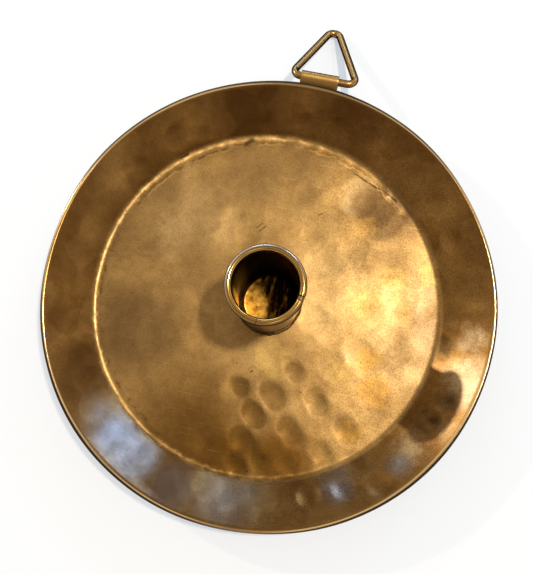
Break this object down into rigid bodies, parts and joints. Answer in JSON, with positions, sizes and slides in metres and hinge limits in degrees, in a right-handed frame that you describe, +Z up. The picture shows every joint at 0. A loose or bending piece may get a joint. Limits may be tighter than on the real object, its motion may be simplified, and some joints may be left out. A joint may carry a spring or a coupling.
{
  "type": "candle plate",
  "caption": "Round beaten-brass candle plate with a tall rolled candle socket on its floor and a triangular wire ring hinged outside the rim for carrying or hanging.",
  "frame": {"origin": "on the pan's axis, on the underside that the plate stands on", "axes": "+Z up along the candle, +Y from the axis towards the hanging ring, +X to the right seen from above with the ring at the top"},
  "size_m": [0.17, 0.2, 0.0429],
  "materials": {
    "pan_brass": "beaten, aged and rubbed bright on its high spots",
    "socket_brass": "aged, darker inside the bore",
    "wire_brass": "dull",
    "sooty_brass": "scratched, stained with soot and wax",
    "solder": "grey-brown, rough",
    "strap_brass": "rubbed satin",
    "ring_brass": "drawn wire, rubbed bright"
  },
  "bodies": {
    "plate": {"pan": "pan_brass", "candle_socket": "socket_brass", "lip_wire": "wire_brass", "socket_floor": "sooty_brass", "foot_solder": "solder", "hinge_strap": "strap_brass", "strap_solder": "solder"},
    "ring": {"hanging_ring": "ring_brass"}
  },
  "joints": [
    {"name": "ring_swing", "type": "hinge", "parent": "plate", "child": "ring", "pos_m": [0.0043, 0.08854, 0.01178], "axis": [1, 0, 0], "range_deg": [-116, 150]}
  ]
}
